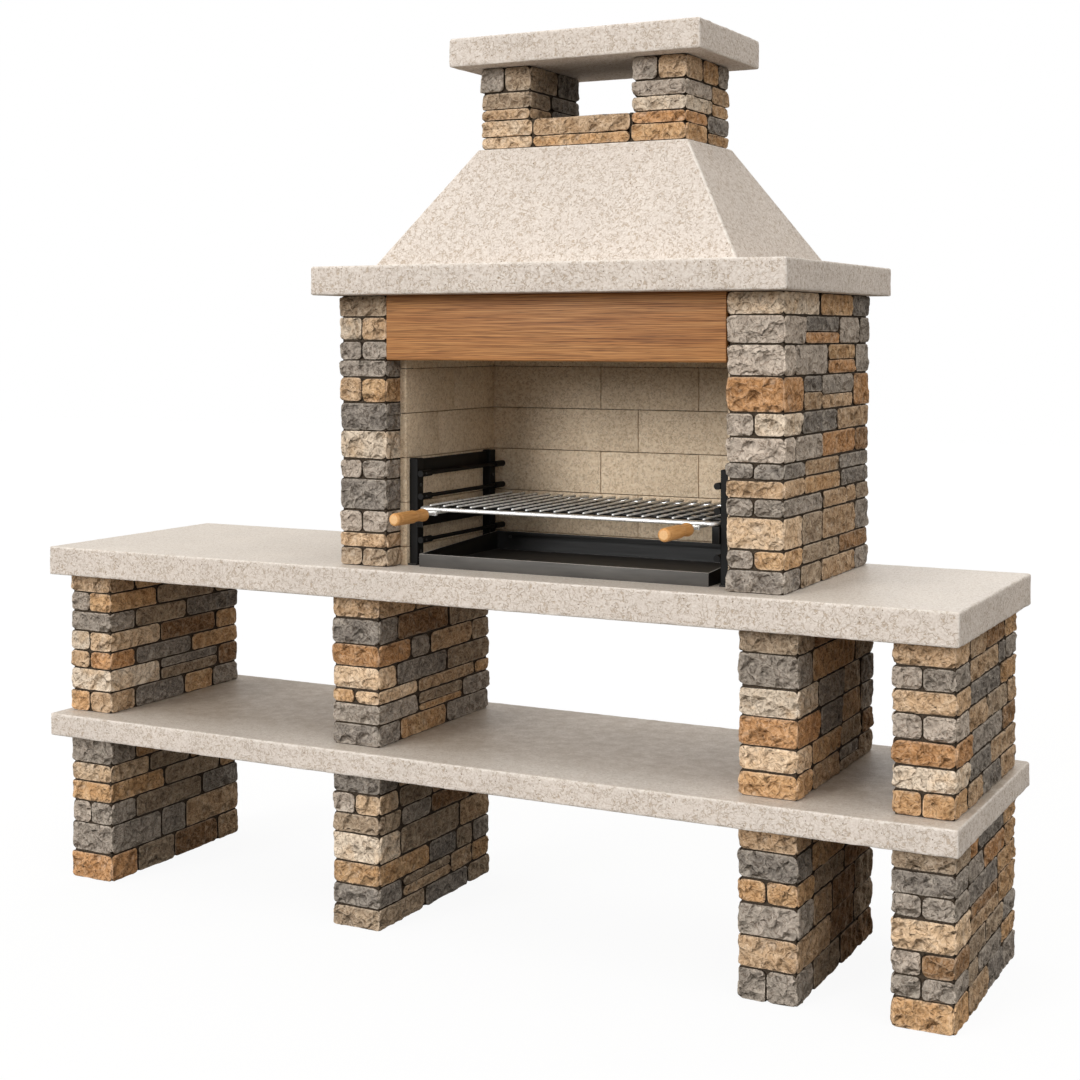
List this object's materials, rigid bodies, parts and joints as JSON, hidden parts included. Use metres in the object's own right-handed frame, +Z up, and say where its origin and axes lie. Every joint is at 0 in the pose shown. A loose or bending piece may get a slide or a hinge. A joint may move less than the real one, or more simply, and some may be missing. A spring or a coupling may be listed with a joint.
{
  "type": "masonry barbecue",
  "caption": "Free-standing stone barbecue: cast worktop and shelf on stone piers, lined firebox with timber beam, hood and chimney; wire grill and charcoal tray slide out.",
  "frame": {"origin": "on the ground, under the middle of the overall box, which the grill's handles reach at the front and the mantle at the back", "axes": "+X to the right along the worktop, +Y from the open front to the back, +Z up"},
  "size_m": [2.46, 0.814, 2.2],
  "materials": {
    "split_stone": "split-face natural stone, mixed greys, tans and ochres",
    "mortar": "rough recessed joint",
    "cast_stone": "pale speckled cast stone, honed top",
    "fire_tile": "matt refractory tile",
    "beam_wood": "oiled timber",
    "handle_wood": "turned and varnished",
    "grill_chrome": "bright plated wire",
    "tray_steel": "black sheet steel",
    "black_steel": "satin black",
    "bright_fixings": "zinc plated"
  },
  "bodies": {
    "masonry": {"beam_dowels": "bright_fixings", "chimney_cap": "cast_stone", "chimney_left_mortar": "mortar", "chimney_left_stones": "split_stone", "chimney_right_mortar": "mortar", "chimney_right_stones": "split_stone", "chimney_ring_mortar": "mortar", "chimney_ring_stones": "split_stone", "collar_screws": "bright_fixings", "firebox_back_mortar": "mortar", "firebox_back_stones": "split_stone", "firebox_left_mortar": "mortar", "firebox_left_stones": "split_stone", "firebox_right_mortar": "mortar", "firebox_right_stones": "split_stone", "hood": "cast_stone", "left_front_post": "black_steel", "left_rear_post": "black_steel", "left_runner": "black_steel", "lining_back": "fire_tile", "lining_left": "fire_tile", "lining_right": "fire_tile", "mantle_slab": "cast_stone", "pier_1_lower_mortar": "mortar", "pier_1_lower_stones": "split_stone", "pier_1_upper_mortar": "mortar", "pier_1_upper_stones": "split_stone", "pier_2_lower_mortar": "mortar", "pier_2_lower_stones": "split_stone", "pier_2_upper_mortar": "mortar", "pier_2_upper_stones": "split_stone", "pier_3_lower_mortar": "mortar", "pier_3_lower_stones": "split_stone", "pier_3_upper_mortar": "mortar", "pier_3_upper_stones": "split_stone", "pier_4_lower_mortar": "mortar", "pier_4_lower_stones": "split_stone", "pier_4_upper_mortar": "mortar", "pier_4_upper_stones": "split_stone", "post_screws": "bright_fixings", "rail_collars": "black_steel", "rail_rods": "black_steel", "right_front_post": "black_steel", "right_rear_post": "black_steel", "right_runner": "black_steel", "shelf_slab": "cast_stone", "support_feet": "black_steel", "timber_beam": "beam_wood", "top_plates": "black_steel", "worktop_slab": "cast_stone"},
    "tray": {"charcoal_tray": "tray_steel", "tray_rivets": "bright_fixings"},
    "grill": {"grill_frame": "grill_chrome", "grill_cross_rods": "grill_chrome", "grill_wires": "grill_chrome", "handle_loops": "grill_chrome", "loop_clips": "grill_chrome", "left_handle": "handle_wood", "right_handle": "handle_wood"}
  },
  "joints": [
    {"name": "grill_pull", "type": "slide", "parent": "masonry", "child": "grill", "axis": [0, -1, 0], "range_m": [0, 0.5]},
    {"name": "tray_pull", "type": "slide", "parent": "masonry", "child": "tray", "axis": [0, -1, 0], "range_m": [0, 0.46]}
  ]
}
